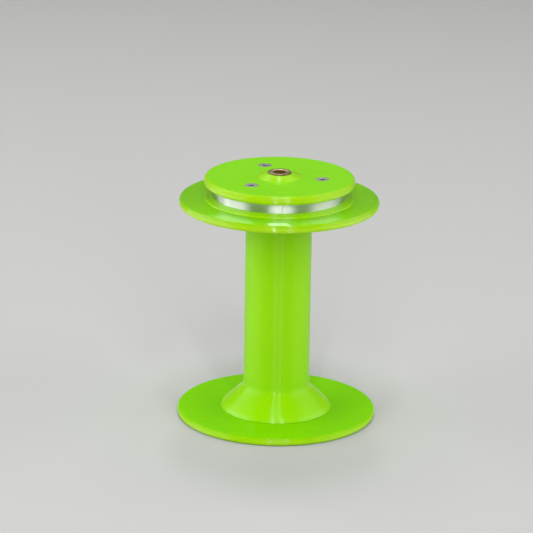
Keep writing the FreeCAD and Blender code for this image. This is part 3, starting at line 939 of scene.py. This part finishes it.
for name, dark, light in (
    ("plated_steel", (0.47, 0.47, 0.505), (0.71, 0.71, 0.745)),
    ("socket_painted_shade_steel", (0.10, 0.098, 0.095), (0.26, 0.255, 0.25)),
):
    screw.data.materials.append(plated_steel(name, dark, light))
# The faces inside the hex socket take the darker steel: painted shade in the recess.
for face in screw.data.polygons:
    middle = face.center
    if math.hypot(middle.x, middle.y) < 1.16 * MM and -1.5 * MM < middle.z < -0.15 * MM:
        face.material_index = 1
for number, angle in enumerate(SCREW_ANGLES, start=1):
    upper = copy_of(screw, "cap_screw_%d_steel" % number)
    set_down(upper, on_circle(CAP_CIRCLE, angle, CAP_TOP))
    place_piece(upper, "cap_screw_%d" % number)
    lower = copy_of(screw, "base_screw_%d_steel" % number)
    set_down(lower, on_circle(BASE_CIRCLE, angle, 0.0), head_up=False)
    place_piece(lower, "base_screw_%d" % number)
bpy.data.objects.remove(screw)


# Inserts: six knurled brass bushes with a waist, pressed warm into the plastic of the foot and
# of the hub. The screws bite in them, so the cap and the flange can be taken off and put back.
INSERT_WAIST = 1.8
WAIST_BOTTOM = 1.5
WAIST_TOP = 2.5
KNURL_STEP = 7.5
KNURL_DEPTH = 0.11


def turned_brass():
    """Bright brass with fine turning marks."""
    material, tree, metal, place = new_material("turned_brass")
    marks = lines_node(tree, place, (300.0, 300.0, 9000.0))
    paint = tone_node(tree, marks, (0.55, 0.36, 0.10), (0.72, 0.50, 0.17))
    tree.links.new(paint, metal.inputs["Base Color"])
    metal.inputs["Metallic"].default_value = 1.0
    rough = sum_node(tree, "MULTIPLY_ADD", marks, 0.25, 0.15)
    tree.links.new(rough, metal.inputs["Roughness"])
    relief_node(tree, metal, sum_node(tree, "MULTIPLY", marks, 0.008 * MM), 0.1)
    return material


insert = turned_wall("insert", (
    (THREAD_RADIUS, 0.0), (INSERT_RADIUS, 0.0),
    (INSERT_RADIUS, WAIST_BOTTOM), (INSERT_WAIST, WAIST_BOTTOM),
    (INSERT_WAIST, WAIST_TOP), (INSERT_RADIUS, WAIST_TOP),
    (INSERT_RADIUS, INSERT_LENGTH), (THREAD_RADIUS, INSERT_LENGTH),
), 48)
bpy.ops.mesh.select_mode(type="FACE")
bpy.ops.mesh.select_all(action="DESELECT")
mesh = bmesh.from_edit_mesh(insert.data)
for face in mesh.faces:
    middle = face.calc_center_median()
    turn = round(math.degrees(math.atan2(middle.y, middle.x)) / KNURL_STEP - 0.5)
    if math.hypot(middle.x, middle.y) > 2.05 * MM and turn % 2 == 0:
        face.select_set(True)
bmesh.update_edit_mesh(insert.data)
bpy.ops.mesh.inset(thickness=0.05 * MM, depth=-KNURL_DEPTH * MM, use_individual=True)
round_rings(insert, ((THREAD_RADIUS, 0.0), (THREAD_RADIUS, INSERT_LENGTH)), 0.12, 2)
finish_surface(insert, 30.0)
insert.data.materials.append(turned_brass())
for number, angle in enumerate(SCREW_ANGLES, start=1):
    upper = copy_of(insert, "cap_insert_%d_brass" % number)
    set_down(upper, on_circle(CAP_CIRCLE, angle, UPPER_INSERT_BOTTOM))
    place_piece(upper, "cap_insert_%d" % number)
    lower = copy_of(insert, "base_insert_%d_brass" % number)
    set_down(lower, on_circle(BASE_CIRCLE, angle, FLANGE_THICK))
    place_piece(lower, "base_insert_%d" % number)
bpy.data.objects.remove(insert)


# Stage: a plain pale floor under soft studio lamps: two large panels on each side, one in front
# with two slim tubes, two short tubes and a panel overhead, and two small panels at the back.
FLOOR_OUTLINE = ((400, 0), (1200, 0), (2400, 0), (2700, 20), (2950, 80), (3150, 200),
                 (3270, 400), (3300, 700), (3300, 1600))
bpy.ops.object.select_all(action="DESELECT")
bpy.ops.mesh.primitive_circle_add(vertices=96, radius=MM, location=(0, 0, 0))
floor = bpy.context.object
floor.name = "floor"
bpy.ops.object.mode_set(mode="EDIT")
bpy.ops.mesh.select_mode(type="EDGE")
bpy.ops.mesh.select_all(action="SELECT")
spread = 1.0
rise = 0.0
for wide, high in FLOOR_OUTLINE:
    bpy.ops.mesh.extrude_edges_move(TRANSFORM_OT_translate={"value": (0, 0, (high - rise) * MM)})
    bpy.ops.transform.resize(value=(wide / spread, wide / spread, 1), center_override=(0, 0, 0))
    spread, rise = wide, high
bpy.ops.mesh.select_all(action="DESELECT")
pick_rings(floor, ((1.0, 0.0),))
bpy.ops.mesh.fill()
bpy.ops.mesh.select_all(action="SELECT")
bpy.ops.mesh.normals_make_consistent(inside=True)
bpy.ops.object.mode_set(mode="OBJECT")
bpy.ops.object.shade_smooth()
floor_paint = bpy.data.materials.new("floor_paint")
floor_paint.use_nodes = True
paint = floor_paint.node_tree.nodes["Principled BSDF"]
paint.inputs["Base Color"].default_value = (0.47, 0.47, 0.46, 1)
paint.inputs["Roughness"].default_value = 0.85
floor.data.materials.append(floor_paint)

world = bpy.data.worlds.new("studio")
bpy.context.scene.world = world
world.use_nodes = True
world.node_tree.nodes["Background"].inputs["Color"].default_value = (1.0, 1.0, 1.0, 1)
world.node_tree.nodes["Background"].inputs["Strength"].default_value = 0.10


def panel(name, azimuth, elevation, distance, wide, high, power, aim=(0, 0, 0.06)):
    """Hangs a soft lamp at an azimuth from the front and a height angle, facing the spool."""
    lamp = bpy.data.lights.new(name, "AREA")
    lamp.shape = "RECTANGLE"
    lamp.size = wide
    lamp.size_y = high
    lamp.energy = power
    holder = bpy.data.objects.new(name, lamp)
    bpy.context.scene.collection.objects.link(holder)
    turn, lift = math.radians(azimuth), math.radians(elevation)
    holder.location = (aim[0] + distance * math.sin(turn) * math.cos(lift),
                       aim[1] - distance * math.cos(turn) * math.cos(lift),
                       aim[2] + distance * math.sin(lift))
    holder.rotation_euler = (math.radians(90) - lift, 0, turn)


panel("left_panel", -80, 22, 1.3, 1.1, 1.05, 9.4)
panel("far_left_panel", -112, 20, 1.4, 0.7, 0.9, 4.1)
panel("right_panel", 80, 24, 1.3, 1.1, 1.15, 7.7)
panel("far_right_panel", 112, 20, 1.4, 0.7, 0.8, 2.1)
panel("front_panel", 0, 25, 1.7, 0.95, 0.8, 1.4)
panel("front_tube_left", -6, 29, 1.6, 0.03, 1.5, 7.2)
panel("front_tube_right", 14, 29, 1.6, 0.03, 1.5, 7.2)
panel("back_panel_left", -157, 52, 1.4, 0.28, 0.4, 2.0)
panel("back_panel_right", 156, 54, 1.4, 0.26, 0.4, 1.4)
panel("overhead_tube_left", 0, 90, 1.25, 0.09, 0.36, 2.2, (-0.125, -0.31, 0.06))
panel("overhead_tube_right", 0, 90, 1.25, 0.09, 0.36, 2.2, (0.085, -0.31, 0.06))
panel("overhead_panel", 0, 90, 1.25, 0.14, 0.5, 4.2, (0, 0.65, 0.06))


# Camera: a long lens 1.34 m away, 17.5 degrees above the level and rolled by just under one
# degree, which shows the whole spool in a square frame.
PITCH = 17.54
ROLL = 0.91
REACH = 1.3375
AIM_LEFT = -0.00503
AIM_HEIGHT = 0.0666
LENS_LENGTH = 209.4
FRAME_WIDTH = 36.0
lens = bpy.data.cameras.new("camera")
lens.sensor_width = FRAME_WIDTH
lens.lens = LENS_LENGTH
viewer = bpy.data.objects.new("camera", lens)
bpy.context.scene.collection.objects.link(viewer)
viewer.location = (AIM_LEFT, -REACH * math.cos(math.radians(PITCH)),
                   AIM_HEIGHT + REACH * math.sin(math.radians(PITCH)))
viewer.rotation_mode = "XYZ"
viewer.rotation_euler = (math.radians(90 - PITCH), 0, 0)
viewer.rotation_euler.rotate_axis("Z", math.radians(ROLL))
lens.clip_start = 0.05
lens.clip_end = 20.0
bpy.context.scene.camera = viewer

bpy.context.scene.view_settings.view_transform = "Standard"
